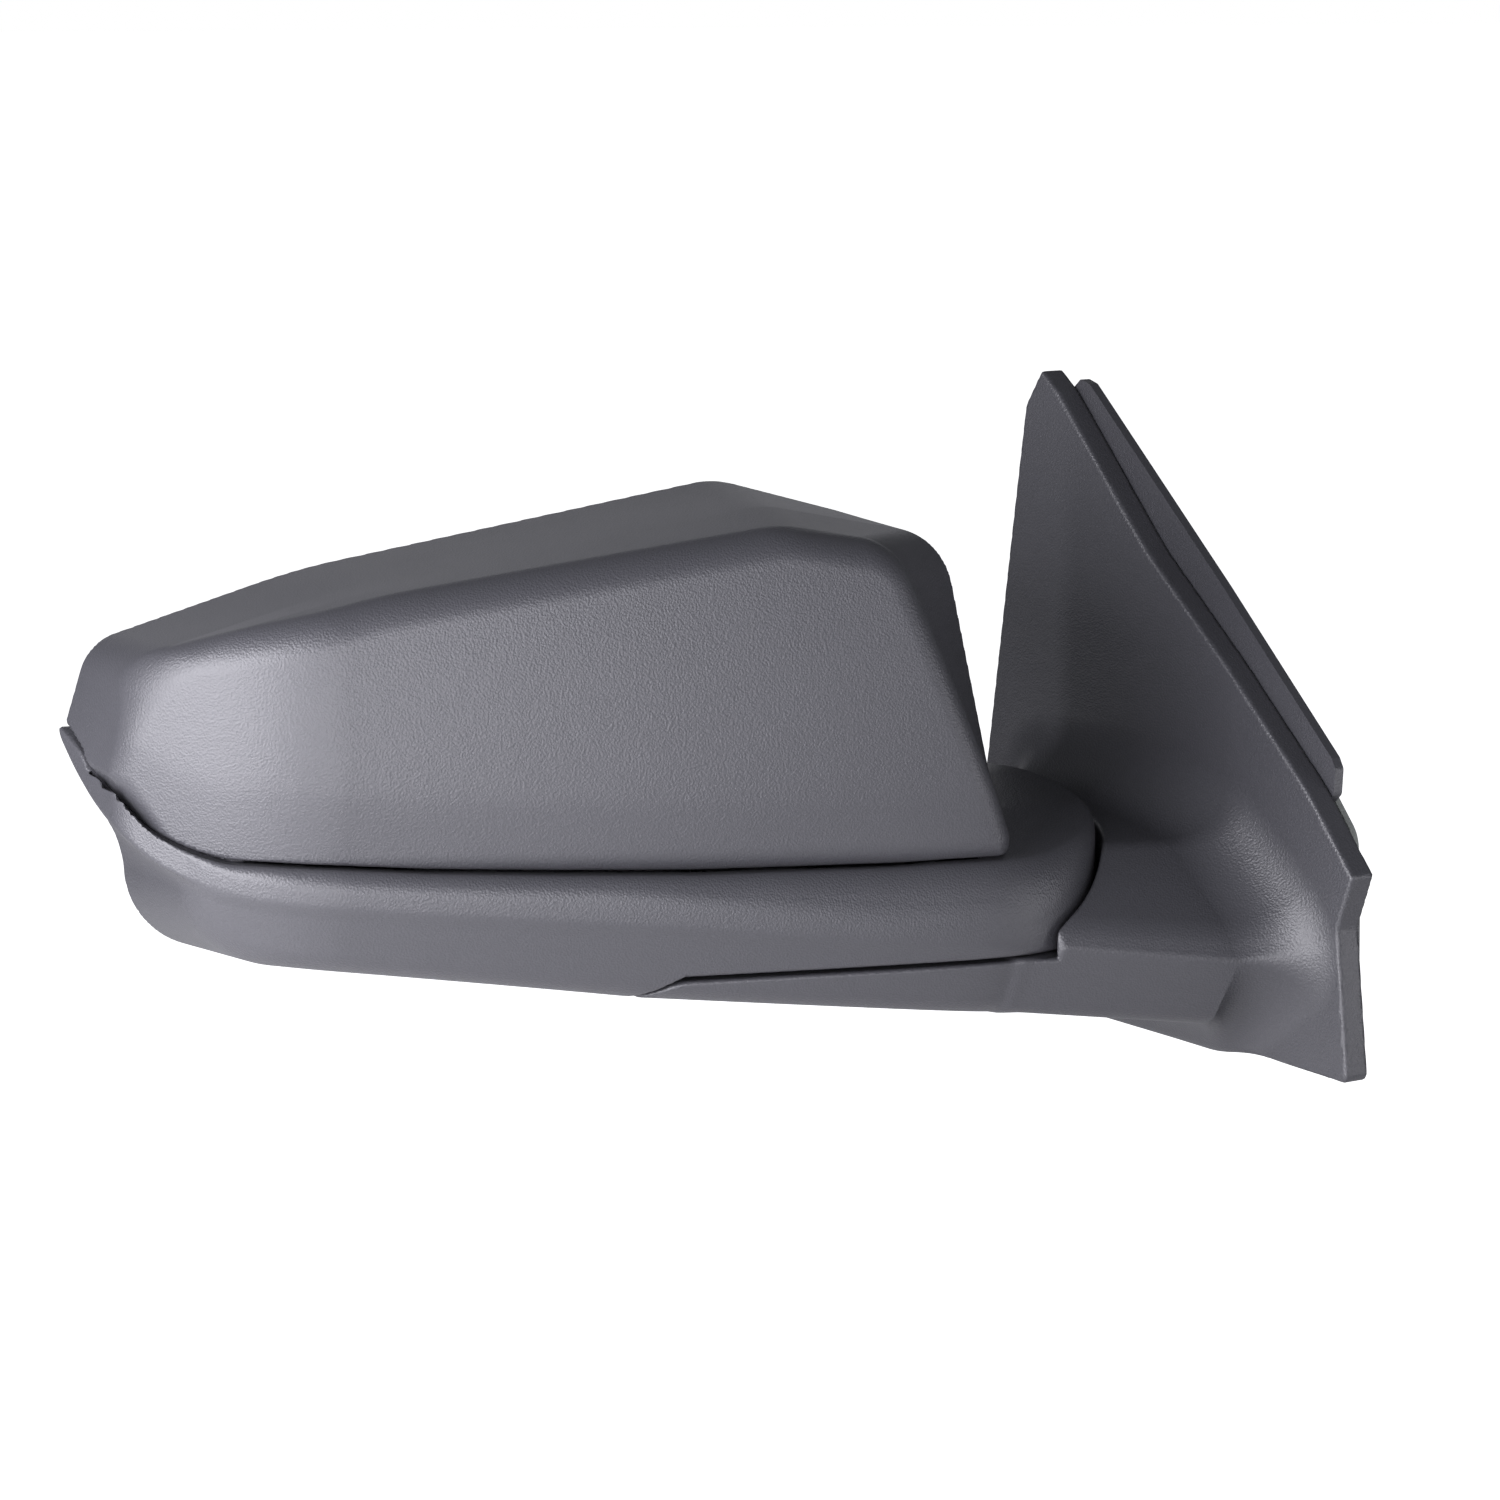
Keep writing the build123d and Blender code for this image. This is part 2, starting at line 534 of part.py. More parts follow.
def glass_carrier():
    """Plastic tray behind the glass, with the gimbal socket and two ball sockets."""
    tray = glass_layer(inset(OPENING, 3.6), 5.4, -0.4) - glass_layer(inset(OPENING, 5.2), 2.6, -5.0)
    sleeve = rod(GLASS_U, GLASS_Z, 16.0, GLASS_F + 5, GIMBAL_F + 3)
    sleeve -= rod(GLASS_U, GLASS_Z, 13.5, GLASS_F + 5.4, GIMBAL_F + 4)
    for u, z in plunger_places().values():
        sleeve += rod(u, z, 5.2, GLASS_F + 5, GIMBAL_F + 2)
        sleeve -= rod(u, z, 3.5, GLASS_F + 7, GIMBAL_F + 3)
    pin_hole = Plane(origin=head_point(GLASS_U, GIMBAL_F, GLASS_Z - 17), x_dir=AHEAD, z_dir=UP)
    return tray + sleeve - extrude(pin_hole * Circle(1.5 + RUN_FIT), amount=34)


def gimbal_ring():
    """Ring between boss and socket, with two pins along u inwards and two along z outwards."""
    ring = rod(GLASS_U, GLASS_Z, 12.0, GIMBAL_F - 3, GIMBAL_F + 3)
    ring -= rod(GLASS_U, GLASS_Z, 9.0, GIMBAL_F - 4, GIMBAL_F + 4)
    centre = head_point(GLASS_U, GIMBAL_F, GLASS_Z)
    for way in (-1, 1):
        inner = Plane(origin=centre + OUT * (way * 4), x_dir=AHEAD, z_dir=OUT * way)
        outer = Plane(origin=centre + UP * (way * 11), x_dir=AHEAD, z_dir=UP * way)
        ring += extrude(inner * Circle(1.5), amount=6) + extrude(outer * Circle(1.5), amount=5)
    return ring


# ---------------------------------------------------------------- the assembly
TILT_WORM = (GLASS_U + 9.3, GLASS_Z - LEVER + 8.0, UP)
PAN_WORM = (GLASS_U - LEVER + 6.5, GLASS_Z + 9.3, OUT)
PLUNGERS = plunger_places()

PARTS = {
    "mirror_cap": mirror_cap(),
    "lower_housing": lower_housing(),
    "bezel": bezel(),
    "bezel_screws": bezel_screws(),
    "base_cover": base_cover(),
    "sail_plate": sail_plate(),
    "base_gasket": base_gasket(),
    "base_bracket": base_bracket(),
    "mounting_studs": mounting_studs(),
    "harness_grommet": harness_grommet(),
    "cover_screws": cover_screws(),
    "sail_clip": sail_clip(),
    "pivot_post": pivot_post(),
    "detent_ring_lower": detent_ring_lower(),
    "detent_ring_upper": detent_ring_upper(),
    "lower_washer": washer(BEARING[1], SPRING[0]),
    "pivot_spring": pivot_spring(),
    "upper_washer": washer(SPRING[1], SPRING[1] + 2),
    "retaining_nut": retaining_nut(),
    "head_frame": head_frame(),
    "adjuster_case_rear": adjuster_case_rear(),
    "adjuster_case_front": adjuster_case_front(),
    "adjuster_screws": adjuster_screws(),
    "motor_tilt": motor(*TILT_WORM),
    "motor_pan": motor(*PAN_WORM),
    "worm_tilt": worm(*TILT_WORM),
    "worm_pan": worm(*PAN_WORM),
    "drive_nut_tilt": drive_nut(*PLUNGERS["tilt"]),
    "drive_nut_pan": drive_nut(*PLUNGERS["pan"]),
    "plunger_tilt": plunger(*PLUNGERS["tilt"]),
    "plunger_pan": plunger(*PLUNGERS["pan"]),
    "gimbal_ring": gimbal_ring(),
    "glass_carrier": glass_carrier(),
    "heater_pad": heater_pad(),
    "mirror_glass": mirror_glass(),
}

os.makedirs("parts", exist_ok=True)
for name, shape in PARTS.items():
    solids = shape if isinstance(shape, list) else [shape]
    solids = [solid for piece in solids for solid in piece.solids()]
    export_step(Compound(children=solids), f"parts/{name}.step")
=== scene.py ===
import json
import math

import bpy
import numpy as np
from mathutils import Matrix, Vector


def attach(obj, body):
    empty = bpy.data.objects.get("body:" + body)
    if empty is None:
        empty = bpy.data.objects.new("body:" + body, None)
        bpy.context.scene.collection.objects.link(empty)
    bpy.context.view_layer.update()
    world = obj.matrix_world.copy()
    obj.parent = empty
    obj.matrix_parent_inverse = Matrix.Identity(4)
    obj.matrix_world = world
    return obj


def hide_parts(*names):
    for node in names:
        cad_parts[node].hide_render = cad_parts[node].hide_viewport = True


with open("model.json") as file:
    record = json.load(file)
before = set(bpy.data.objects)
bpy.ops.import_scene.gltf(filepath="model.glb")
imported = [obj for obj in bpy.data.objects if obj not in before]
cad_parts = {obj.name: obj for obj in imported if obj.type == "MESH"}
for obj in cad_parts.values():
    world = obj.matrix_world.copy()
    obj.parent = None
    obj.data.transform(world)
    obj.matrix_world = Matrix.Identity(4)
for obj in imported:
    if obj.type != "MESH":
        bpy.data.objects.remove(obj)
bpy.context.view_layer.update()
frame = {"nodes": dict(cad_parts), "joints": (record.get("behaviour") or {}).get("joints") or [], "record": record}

# Right-hand door mirror. Shapes are worked out in millimetres, and placed in metres.
# The head has its own directions from the fold axis: u outboard, f forward, z up.
MM = 0.001
JOINTS = {joint["name"]: joint for joint in frame["joints"]}
FOLD = np.array(JOINTS["head_fold"]["pos_m"]) / MM
AHEAD = np.array(JOINTS["plunger_tilt_slide"]["axis"])
OUT = np.cross(AHEAD, (0, 0, 1))

# ---------------------------------------------------------------- sizes
SKIN = 2.6              # wall of the covers
CELL = 1.0              # edge of the mesh's faces
HEAD_REAR = -44.0       # f of the bezel's plane
HEAD_FRONT = 51.0       # f of the front face at the fold axis
SHOULDER_R = 9.0        # rounding of the cap's face into its walls
CORNER_TIGHTER = 6.0    # how much less that is at the cap's lower outboard corner
CORNER_U = 190.0        # that corner begins here, and is reached over CORNER_BLEND_U
CORNER_BLEND_U = 22.0
CORNER_Z = 68.0         # below this, over CORNER_BLEND_Z
CORNER_BLEND_Z = 24.0
OUTBOARD_U = 180.0      # the cap's corners outboard of this narrow at CAP_DEPTHS_OUTBOARD
RAKE_SLOPE = 0.098      # the front face falls back by this per mm outboard
RAKE_CURVE = 0.00017    # plus this times the distance squared
RAKE_EASE = 15.0        # length over which that starts
CROWN = 2.2             # the cap's face is set back by this at CROWN_HALF above and below CROWN_Z
CROWN_Z = 48.0
CROWN_HALF = 50.0
END_SWEEP_U = 173.0     # from here outboard the front face sweeps back to the end
END_SWEEP_R = 47.0
TUCK_RISE = 19.5        # the cap's face tucks under from this far above the joint line
TUCK_SLOPE = 0.13
TUCK_EASE = 3.0
NECK_R = 51.3           # round inboard end of the head
WALL_R = 54.0           # round wall in the base that it turns in
WALL_X = -78.8          # where that wall starts
STEP_R = 100.0          # the head's underside is flat inside this radius, measured at STEP_Z
FOOT_R = 98.4           # reach of the foot's plate under the head, measured at STEP_Z
STEP_Z = -25.0
STEP_LEAN = 1.5         # both get this much smaller per mm upwards
HEAD_FLOOR = -18.8
HEAD_END = 209.6        # u of the lower housing's outboard end under the blade
HEAD_END_R = 21.0
BLADE_END = 226.5       # u of the blade's end at the rear
BLADE_TAPER = 12.0      # it ends 1 mm further inboard per this many mm forward
BLADE_SHARE = 1.66      # power by which the blade's floor leaves the crease towards the rear
BLADE_REAR_Z = 12.0     # height of that floor at the rear, up to BLADE_RISE_U
BLADE_RISE_U = 209.5
BLADE_RISE = 1.88       # how steeply it rises outboard of there
BLADE_STEEP = (0.5, 1.38)   # slope of the floor in front, and how much more it is at the rear
FACET_SLOPE = 0.444     # the facet under the crease falls back by this per mm down
FACET_SCALE = 0.914     # makes its measure a distance
BELLY_U = 92.0          # outboard of this the underside rises towards the front
BELLY_TWIST = 0.0009
ROLL_REAR = 4.0         # radius of the band's top at the rear
ROLL_END_U = 214.0      # it is at most ROLL_LEAST outboard of here, and ROLL_GROWTH more per mm inboard
ROLL_LEAST = 0.8
ROLL_GROWTH = 0.16
NECK_U = 22.0           # the joint line's rise over the neck starts here, and is full NECK_BLEND on
NECK_BLEND = 14.0
END_U = 197.0           # the same at the outboard end
END_BLEND = 11.0
LIP = 4.0               # how far the lower housing reaches in under the cap's wall
LIP_RAISED = 8.0        # that depth is taken this far up, clear of the cap's open bottom
TONGUE_U = 195.0        # outboard of this a tongue stands up behind the cap's wall
TONGUE_IN = 1.7         # its middle is this far in from the wall's inside
TONGUE_HALF = 1.2       # half of its thickness
PIVOT_HOLE_R = 24.0     # hole in the head's floor round the pivot
POST_HOLE_R = 23.0      # hole in the foot round the pivot
POST_HOLE_Z = -30.0     # bottom of that hole
FOOT_TOP = -20.0
FOOT_REAR = -36.0
SEAM_GAP = 0.9          # between cap and lower housing
SAIL_X = -13.0          # the sail's outer face
PLATE_X = -5.0          # the base cover's rim at the door
PLATE_UNDER_X = -60.0   # the foot's plate under the head reaches this far inboard
SAIL_FILLET = 16.0      # between foot and sail

# outlines of the cap across the head, (u, z, corner radius), at three depths
CAP_REAR = [(226.5, 41, 3), (218, 67.5, 14), (160, 84, 200), (38, 103, 30), (-14, 88.5, 24), (-27, 3, 10),
            (100, 6.5, 150), (206, 10, 30)]
CAP_MIDDLE = [(223, 37, 3), (219, 69, 14), (160, 84.5, 200), (47, 101, 34), (-7, 90, 21), (-26.5, 3, 10),
              (100, 6.5, 150), (207, 10, 30)]
CAP_FRONT = [(221, 32, 12), (219, 71.5, 16), (160, 85, 200), (56, 98.8, 40), (24, 93.5, 18), (-15, 3, 8),
             (100, 7.5, 150), (208, 10, 25)]
CAP_DEPTHS = (-44.0, 8.0, 38.0)
CAP_DEPTHS_OUTBOARD = (-44.0, 0.0, 14.0)

# lines along the head, (u, z) unless said
SEAM = [(-30, 6.8), (25, 7.2), (80, 8.8), (118, 11.0), (152, 13.3), (176, 15.6), (192, 16.7),
        (201, 17.1), (206, 18.5), (210, 20.2), (214, 22.4), (216.5, 24.3), (219.5, 27.4), (222, 31.5),
        (225, 38), (226, 42), (240, 80)]
# the same line round the outboard end, (f, z)
END_SEAM = [(-60, 51), (-44, 46), (-29, 41), (-18, 31.5), (-9, 26), (1, 22.6), (7, 20), (11, 18.3),
            (15, 17), (22, 14), (40, 8)]
# how far it stands over SEAM at the neck, (f, rise)
NECK_RISE = [(-52, 14.1), (-20, 13.1), (15, 8.1), (33, 3.1), (43, 0), (60, 0)]
CREASE = [(-52, -22), (92, -3.5), (154, 3.1), (172, 5.4), (190, 7.6), (202, 9.6), (211, 13),
          (216.5, 16.5), (219.5, 19), (223, 24), (235, 42)]
BOTTOM = [(-52, -41), (92, -25), (188, -16), (230, -12)]
ROLL = [(-52, 16), (25, 16), (100, 6.5), (230, 5)]      # (u, radius of the band's top)

# outlines of the foot, (y, z, corner radius), at three stations along x
FOOT_X = (-90.0, -30.0, -10.4)
FOOT_SECTIONS = [
    [(33, 17.5, 6), (-8, 12.5, 40), (-30, 7.5, 10), (-49.5, -9.5, 16), (-51.6, -15.5, 3),
     (-43, -35.2, 5), (33, -38, 8)],
    [(37, 12.5, 8), (-2, 12.5, 40), (-42, 5, 12), (-67, -16, 18), (-71, -24, 3),
     (-60, -43.5, 9), (40, -44, 8)],
    [(40, 14.5, 6), (-4, 15.5, 40), (-48, 4.5, 14), (-74.5, -16, 18), (-78.5, -24, 3),
     (-40, -49.5, 10), (46, -49, 8)]]
SAIL = [(38.8, 128.8, 0.5), (31.4, 123.3, 0.5), (-9.2, 81.2, 90), (-43.6, 53.2, 90), (-78.3, 22.5, 90),
        (-97, 1.5, 1), (-91.3, -13.6, 5), (-96.5, -55.3, 2), (-25, -52.5, 40), (67, -50, 8), (65, 0, 60),
        (52.5, 78.6, 120), (46, 118.3, 8)]

# boxes that the covers are meshed in, the head's two in its own directions
CAP_BOX = ((-34, -48, -2), (232, 56, 108))
LOWER_BOX = ((-56, -48, -46), (232, 56, 52))
BASE_BOX = ((-192, -100, -60), (-2, 72, 132))


# ---------------------------------------------------------------- fields: signed distances, negative inside
def both(a, b, radius):
    """Inside a and b, with the edge between them rounded."""
    corner = np.hypot(np.maximum(a + radius, 0), np.maximum(b + radius, 0))
    return np.minimum(np.maximum(a, b), -radius) + corner


def either(a, b, radius):
    """Inside a or b, with a fillet between them."""
    return -both(-a, -b, radius)


def soft_line(points, blur):
    """Function of one coordinate through the points, with its corners rounded over about blur each way."""
    x, y = (np.array([p[i] for p in points], float) for i in (0, 1))
    reach = 4 * blur
    first, last = (y[1] - y[0]) / (x[1] - x[0]), (y[-1] - y[-2]) / (x[-1] - x[-2])
    x = np.concatenate([[x[0] - reach], x, [x[-1] + reach]])
    y = np.concatenate([[y[0] - reach * first], y, [y[-1] + reach * last]])
    at = np.arange(x[0], x[-1], 0.5)
    window = np.hanning(4 * blur + 3)
    values = np.convolve(np.interp(at, x, y), window / window.sum(), mode="same")
    keep = slice(2 * blur, -2 * blur)
    return lambda where: np.interp(where, at[keep], values[keep])


def convex(a, b, corners):
    """Distance to a convex outline whose (a, b, radius) corners may vary from place to place."""
    found = None
    for i, (ca, cb, radius) in enumerate(corners):
        before, after = corners[i - 1], corners[(i + 1) % len(corners)]
        in_a, in_b = ca - before[0], cb - before[1]
        out_a, out_b = after[0] - ca, after[1] - cb
        length_in, length_out = np.hypot(in_a, in_b), np.hypot(out_a, out_b)
        in_a, in_b = in_a / length_in, in_b / length_in
        out_a, out_b = out_a / length_out, out_b / length_out
        reach = radius / (1 + in_a * out_a + in_b * out_b)
        qa = a - (ca - (in_b + out_b) * reach)
        qb = b - (cb + (in_a + out_a) * reach)
        flat = np.maximum(qa * in_b - qb * in_a, qa * out_b - qb * out_a)
        at_corner = (qa * in_a + qb * in_b > 0) & (qa * out_a + qb * out_b < 0)
        here = np.where(at_corner, np.hypot(qa, qb), flat) - radius
        found = here if found is None else np.maximum(found, here)
    return found


def varied(where, outlines, stations):
    """Corners of an outline that changes linearly between its stations, given for each corner."""
    corners = []
    for places, same in zip(stations, zip(*outlines)):
        corners.append([np.interp(where, places, values) for values in zip(*same)])
    return corners


def rounded_line(corners):
    """The closed outline as points, with its corners as arcs."""
    points = []
    for i, (a, b, radius) in enumerate(corners):
        here = Vector((a, b))
        back = (Vector(corners[i - 1][:2]) - here).normalized()
        on = (Vector(corners[(i + 1) % len(corners)][:2]) - here).normalized()
        half = back.angle(on) / 2
        centre = here + (back + on).normalized() * (radius / math.sin(half))
        start = here + back * (radius / math.tan(half)) - centre
        end = here + on * (radius / math.tan(half)) - centre
        steps = max(2, round((math.pi - 2 * half) / math.radians(4)))
        for k in range(steps + 1):
            way = start.lerp(end, k / steps).normalized()
            points.append(tuple(centre + way * radius))
    return points


def polygon(a, b, line):
    """Distance to any closed outline."""
    shape = np.broadcast_shapes(np.shape(a), np.shape(b))
    nearest, inside = np.full(shape, 1e9), np.zeros(shape, bool)
    for (a0, b0), (a1, b1) in zip(line, line[1:] + line[:1]):
        da, db = a1 - a0, b1 - b0
        along = np.clip(((a - a0) * da + (b - b0) * db) / (da * da + db * db), 0, 1)
        nearest = np.minimum(nearest, (a - a0 - along * da) ** 2 + (b - b0 - along * db) ** 2)
        if db:
            inside ^= ((b0 > b) != (b1 > b)) & (a < a0 + (b - b0) * da / db)
    return np.where(inside, -1, 1) * np.sqrt(nearest)


# ---------------------------------------------------------------- the head's shapes
seam_height = soft_line(SEAM, 3)
neck_rise = soft_line(NECK_RISE, 5)
end_seam_height = soft_line(END_SEAM, 3)
crease_height = soft_line(CREASE, 6)
bottom_height = soft_line(BOTTOM, 14)
roll_radius = soft_line(ROLL, 14)


def rake(u):
    """How far the front face falls back towards the outboard end, and how steeply."""
    along = np.hypot(np.maximum(u, 0), RAKE_EASE) - RAKE_EASE
    beyond = np.maximum(u - END_SWEEP_U, 0)
    drop = RAKE_SLOPE * along + RAKE_CURVE * along ** 2 + beyond ** 2 / (2 * END_SWEEP_R)
    return drop, np.hypot(1, RAKE_SLOPE + 2 * RAKE_CURVE * along + beyond / END_SWEEP_R)


def cap_solid(u, f, z):
    """The cap filled in, with no end at the rear."""
    depths = [CAP_DEPTHS_OUTBOARD if corner[0] > OUTBOARD_U else CAP_DEPTHS for corner in CAP_REAR]
    walls = convex(u, z, varied(f, (CAP_REAR, CAP_MIDDLE, CAP_FRONT), depths))
    crown = CROWN * ((z - CROWN_Z) / CROWN_HALF) ** 2
    below = seam_height(u) + TUCK_RISE - z
    tuck = TUCK_SLOPE * (below + np.hypot(below, TUCK_EASE)) / 2
    drop, steep = rake(u)
    face = (f - (HEAD_FRONT - drop - crown - tuck)) / steep
    outboard = np.clip((u - CORNER_U) / CORNER_BLEND_U, 0, 1)
    tight = outboard * np.clip((CORNER_Z - z) / CORNER_BLEND_Z, 0, 1)
    return both(walls, face, SHOULDER_R - CORNER_TIGHTER * tight ** 2 * (3 - 2 * tight))


def head_roof(u, f):
    """Height of the line that parts cap and lower housing, which rises to the rear over the neck."""
    inboard = np.clip((NECK_U - u) / NECK_BLEND, 0, 1)
    outboard = np.clip((u - END_U) / END_BLEND, 0, 1)
    rise = neck_rise(f) * inboard ** 2 * (3 - 2 * inboard)
    return seam_height(u) + rise + np.maximum(end_seam_height(f) - seam_height(u), 0) * outboard


def lower_sides(u, f, z):
    """Front, crease, facet, belly and outboard blade of the lower housing."""
    drop, steep = rake(u)
    front = (np.where(u > 0, f, np.hypot(u, f)) - (NECK_R - drop)) / steep
    end = u - (BLADE_END - (f - HEAD_REAR) / BLADE_TAPER)
    plan = both(front, end, 3.0)
    facet = (front + FACET_SLOPE * (crease_height(u) - z)) * FACET_SCALE
    underside = bottom_height(u) + BELLY_TWIST * np.maximum(u - BELLY_U, 0) * (f - HEAD_REAR) - z
    main = both(both(front, facet, 1.0), both(underside, u - HEAD_END, HEAD_END_R), 5.0)
    share = np.clip((HEAD_FRONT - drop - f) / (HEAD_FRONT - drop - HEAD_REAR), 0, 1) ** BLADE_SHARE
    rear = BLADE_REAR_Z + BLADE_RISE * np.maximum(u - BLADE_RISE_U, 0)
    slope = BLADE_STEEP[0] + BLADE_STEEP[1] * share
    floor = (crease_height(u) * (1 - share) + rear * share - z) / np.hypot(1, slope)
    return either(main, both(plan, floor, 1.0), 3.0)


def lower_solid(u, f, z):
    """The lower housing filled in up to the joint line, over its flat floor above the foot."""
    forward = np.clip(f / np.maximum(HEAD_FRONT - rake(u)[0], 10), 0, 1) ** 4
    roll = ROLL_REAR + (roll_radius(u) - ROLL_REAR) * forward
    roll = np.minimum(roll, ROLL_LEAST + ROLL_GROWTH * np.maximum(ROLL_END_U - u, 0))
    body = both(lower_sides(u, f, z), z - head_roof(u, f), roll)
    foot_room = np.maximum(np.hypot(u, f) - STEP_R + STEP_LEAN * (z - STEP_Z), z - HEAD_FLOOR)
    return both(body, -foot_room, 1.2)


def cap_field(u, f, z):
    """Shell of the cap."""
    solid = cap_solid(u, f, z)
    shell = np.maximum(solid, -solid - SKIN)
    shell = both(shell, SEAM_GAP - lower_solid(u, f, z), 0.7)
    return both(shell, HEAD_REAR - f, 0.9)


def lower_field(u, f, z):
    """Shell of the lower housing, open under the cap and around the pivot."""
    solid = lower_solid(u, f, z)
    shell = np.maximum(solid, -solid - SKIN)
    under_cap = cap_solid(u, f, z)
    behind_wall = -cap_solid(u, f, z + LIP_RAISED) - SKIN - LIP
    shell = np.maximum(shell, np.minimum(behind_wall, -under_cap))
    tongue = np.abs(under_cap + SKIN + TONGUE_IN) - TONGUE_HALF
    tongue = np.maximum(tongue, np.abs(z - head_roof(u, f)) - LIP)
    shell = np.minimum(shell, np.maximum(tongue, TONGUE_U - u))
    shell = both(shell, HEAD_REAR - f, 0.9)
    pivot_hole = np.maximum(np.hypot(u, f) - PIVOT_HOLE_R, z)
    return both(shell, -pivot_hole, 0.8)


# ---------------------------------------------------------------- the base's shapes
SAIL_LINE = rounded_line(SAIL)


def base_open(x, y, z):
    """Foot and sail filled in, with no end towards the door."""
    u = (x - FOLD[0]) * OUT[0] + (y - FOLD[1]) * OUT[1]
    f = (x - FOLD[0]) * AHEAD[0] + (y - FOLD[1]) * AHEAD[1]
    radius = np.hypot(u, f)
    outline = varied(x, FOOT_SECTIONS, [FOOT_X] * len(FOOT_SECTIONS[0]))
    foot = both(convex(y, z, outline), FOOT_X[0] - x, 3.0)
    turning = np.maximum(np.minimum(radius - WALL_R, x - WALL_X), FOOT_TOP - z)
    foot = both(foot, -turning, 1.5)
    reach = (radius - FOOT_R + STEP_LEAN * (z - STEP_Z)) / math.hypot(1, STEP_LEAN)
    plate = both(both(lower_sides(u, f, z), z - FOOT_TOP, 1.5), reach, 1.2)
    plate = both(plate, FOOT_REAR - f, 3.0)
    plate = np.maximum(plate, x - PLATE_UNDER_X)
    sail = both(polygon(y, z, SAIL_LINE), SAIL_X - x, 0.9)
    return either(either(foot, plate, 2.0), sail, SAIL_FILLET)


def base_field(x, y, z):
    """Shell of foot and sail, open towards the door and around the pivot."""
    solid = base_open(x, y, z)
    shell = np.maximum(solid, -solid - SKIN)
    shell = both(shell, x - PLATE_X, 1.0)
    post_hole = np.maximum(np.hypot(x - FOLD[0], y - FOLD[1]) - POST_HOLE_R, POST_HOLE_Z - z)
    return both(shell, -post_hole, 0.8)


# ---------------------------------------------------------------- meshing a field
SETTLE_ROUNDS = 3       # times that the points are moved onto the surface
SETTLE_STEP = 0.3       # how far at most each time, as a share of CELL
SETTLE_REACH = 0.45     # and in all
NEAR_SURFACE = 0.3      # mm; a point that ends further off goes back to its first place
LEAST_SLOPE = 0.5       # the same where the field is flatter than this


def crossings(values):
    """Cells that the surface passes through, each with the mean of its edges' crossing points."""
    inside = values < 0
    count = np.zeros([n - 1 for n in values.shape], np.int8)
    total = np.zeros([n - 1 for n in values.shape] + [3], np.float32)
    for axis in range(3):
        low = [slice(None)] * 3
        high = [slice(None)] * 3
        low[axis], high[axis] = slice(0, -1), slice(1, None)
        a, b = values[tuple(low)], values[tuple(high)]
        crossed = inside[tuple(low)] != inside[tuple(high)]
        share = np.where(crossed, a / np.where(crossed, a - b, 1), 0)
        others = [k for k in range(3) if k != axis]
        for i in (0, 1):
            for j in (0, 1):
                part = [slice(None)] * 3
                part[others[0]] = slice(i, i + count.shape[others[0]])
                part[others[1]] = slice(j, j + count.shape[others[1]])
                hit, at = crossed[tuple(part)], share[tuple(part)]
                count += hit
                total[..., axis] += at * hit
                total[..., others[0]] += i * hit
                total[..., others[1]] += j * hit
    return inside, count, total


def quads(inside, number):
    """Faces round every grid edge that the surface crosses."""
    faces = []
    for axis in range(3):
        others = [(axis + 1) % 3, (axis + 2) % 3]
        low = [slice(1, -1)] * 3
        high = [slice(1, -1)] * 3
        low[axis], high[axis] = slice(0, -1), slice(1, None)
        a, b = inside[tuple(low)], inside[tuple(high)]
        at = np.argwhere(a != b)
        flip = a[tuple(at.T)]
        at[:, others[0]] += 1
        at[:, others[1]] += 1
        ring = []
        for i, j in ((0, 0), (-1, 0), (-1, -1), (0, -1)):
            cell = at.copy()
            cell[:, others[0]] += i
            cell[:, others[1]] += j
            ring.append(number[tuple(cell.T)])
        ring = np.stack(ring, 1)
        ring[~flip] = ring[~flip][:, ::-1]
        faces.append(ring)
    return np.concatenate(faces)


def gradient(field, points, value):
    """Slope of the field at the points, by small steps."""
    step = 0.02
    slopes = [(field(*(points + step * np.eye(3)[i]).T) - value) / step for i in range(3)]
    return np.stack(slopes, 1)


def limited(moves, reach):
    """The moves, with none longer than reach."""
    size = np.linalg.norm(moves, axis=1)
    return moves * np.minimum(1, reach / np.maximum(size, 1e-9))[:, None]


def meshed(field, box):
    """Points, faces and outward normals of the field's surface within a box."""
    low, high = box
    axes = [np.arange(low[i], high[i] + CELL, CELL) for i in range(3)]
    values = field(*np.meshgrid(*axes, indexing="ij", sparse=True)).astype(np.float32)
    inside, count, total = crossings(values)
    cells = np.argwhere(count > 0)
    number = np.full(count.shape, -1, np.int32)
    number[tuple(cells.T)] = np.arange(len(cells))
    at = tuple(cells.T)
    points = (cells + total[at] / count[at][:, None]) * CELL + np.array([a[0] for a in axes])
    faces = quads(inside, number)
    on_surface = points.copy()
    for _ in range(SETTLE_ROUNDS):
        value = field(*on_surface.T)
        slope = gradient(field, on_surface, value)
        square = np.maximum((slope ** 2).sum(1), LEAST_SLOPE ** 2)
        on_surface -= limited(slope * (value / square)[:, None], SETTLE_STEP * CELL)
    on_surface = points + limited(on_surface - points, SETTLE_REACH * CELL)
    value = field(*on_surface.T)
    slope = gradient(field, on_surface, value)
    steep = np.linalg.norm(slope, axis=1)
    good = (np.abs(value) < NEAR_SURFACE) & (steep > LEAST_SLOPE)
    points = np.where(good[:, None], on_surface, points)
    return points, faces, np.where(good[:, None], slope / np.maximum(steep, 1e-9)[:, None], 0)


